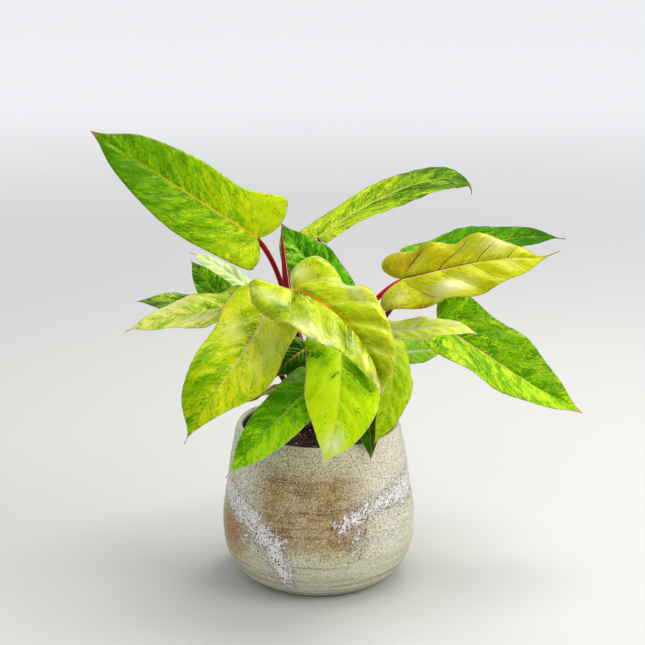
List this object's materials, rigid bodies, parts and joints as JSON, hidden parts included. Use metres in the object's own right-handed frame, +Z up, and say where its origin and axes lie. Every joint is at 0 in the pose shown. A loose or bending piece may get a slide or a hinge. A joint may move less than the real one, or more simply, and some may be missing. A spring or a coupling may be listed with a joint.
{
  "type": "potted painted lady philodendron",
  "caption": "Variegated house plant with arrow-shaped leaves on red stalks, standing in soil in a nursery pot inside a round-bellied stoneware pot.",
  "frame": {"origin": "centre of the pot's flat foot, on the surface that it stands on", "axes": "+Z up along the pot's axis, -Y towards the viewer of the picture, +X to the viewer's right"},
  "size_m": [0.4021, 0.2873, 0.3793],
  "materials": {
    "stoneware": "rough unglazed stoneware with fine dark specks and two patches of white crackled glaze",
    "nursery_plastic": "matt black",
    "soil": "loose dark potting mix with bark",
    "stem": "satin",
    "petiole": "satin crimson",
    "leaf_lime": "satin, lime green mottled with darker green",
    "leaf_green": "satin, dark green streaked with lime",
    "leaf_gold": "glossy, yellow green with an orange midrib",
    "leaf_cream": "satin, cream and lime"
  },
  "bodies": {
    "root": {"pot": "stoneware", "grow_pot": "nursery_plastic", "soil": "soil", "stem": "stem", "new_leaf_sheath": "petiole", "leaf_top_left": "leaf_lime", "leaf_upper_right": "leaf_lime", "leaf_center_back": "leaf_green", "leaf_center_front": "leaf_gold", "leaf_front_left": "leaf_gold", "leaf_left": "leaf_cream", "leaf_left_behind": "leaf_green", "leaf_left_upright": "leaf_green", "leaf_left_pale": "leaf_cream", "leaf_right_behind": "leaf_green", "leaf_right_middle": "leaf_gold", "leaf_right_lower": "leaf_lime", "leaf_right_narrow": "leaf_cream", "leaf_right_small": "leaf_green", "leaf_front_right": "leaf_lime", "leaf_front_hidden": "leaf_green", "leaf_front_middle": "leaf_lime", "leaf_front_lower_left": "leaf_green", "leaf_front_dark": "leaf_green", "leaf_rim_left": "leaf_green", "petiole_top_left": "petiole", "petiole_upper_right": "petiole", "petiole_center_back": "petiole", "petiole_center_front": "petiole", "petiole_front_left": "petiole", "petiole_left": "petiole", "petiole_left_behind": "petiole", "petiole_left_upright": "petiole", "petiole_left_pale": "petiole", "petiole_right_behind": "petiole", "petiole_right_middle": "petiole", "petiole_right_lower": "petiole", "petiole_right_narrow": "petiole", "petiole_right_small": "petiole", "petiole_front_right": "petiole", "petiole_front_hidden": "petiole", "petiole_front_middle": "petiole", "petiole_front_lower_left": "petiole", "petiole_front_dark": "petiole", "petiole_rim_left": "petiole"}
  },
  "joints": []
}
